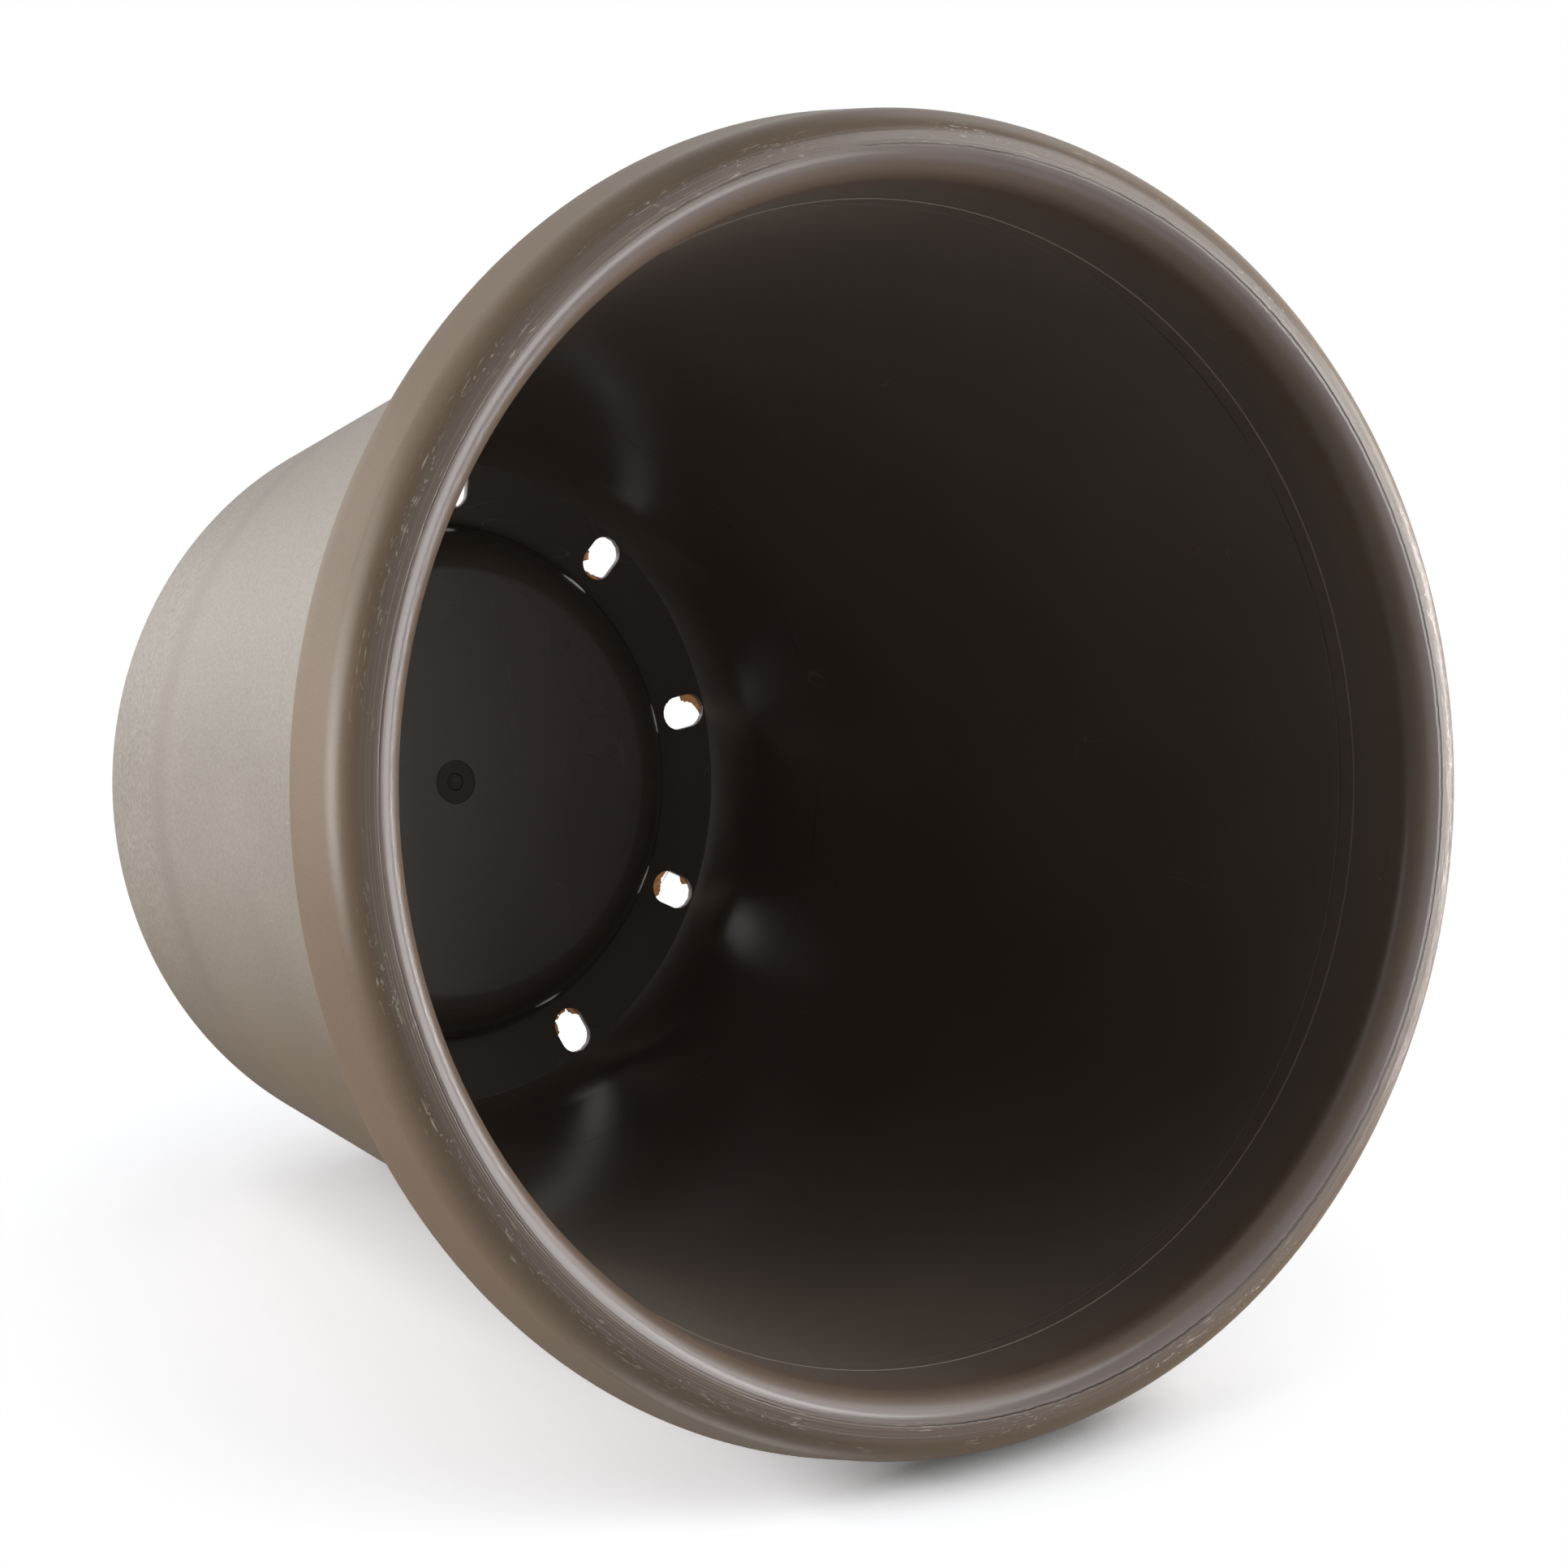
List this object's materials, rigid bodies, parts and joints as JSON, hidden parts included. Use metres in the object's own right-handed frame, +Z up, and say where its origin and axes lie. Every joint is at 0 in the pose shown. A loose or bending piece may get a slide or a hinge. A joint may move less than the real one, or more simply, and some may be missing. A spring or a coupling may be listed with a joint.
{
  "type": "plastic plant pot",
  "caption": "Round tapered plastic plant pot with a rolled hanging rim, a rounded foot, a raised base panel and a ring of drain slots.",
  "frame": {"origin": "centre of the pot's axis at the ground, under the flat ring that it stands on", "axes": "+Z up along the pot's axis to its open mouth, +X through the middle of one drain slot"},
  "size_m": [0.4, 0.4, 0.3305],
  "materials": {
    "moulded_plastic": "fine matt grain, taupe"
  },
  "bodies": {
    "root": {"pot": "moulded_plastic"}
  },
  "joints": []
}
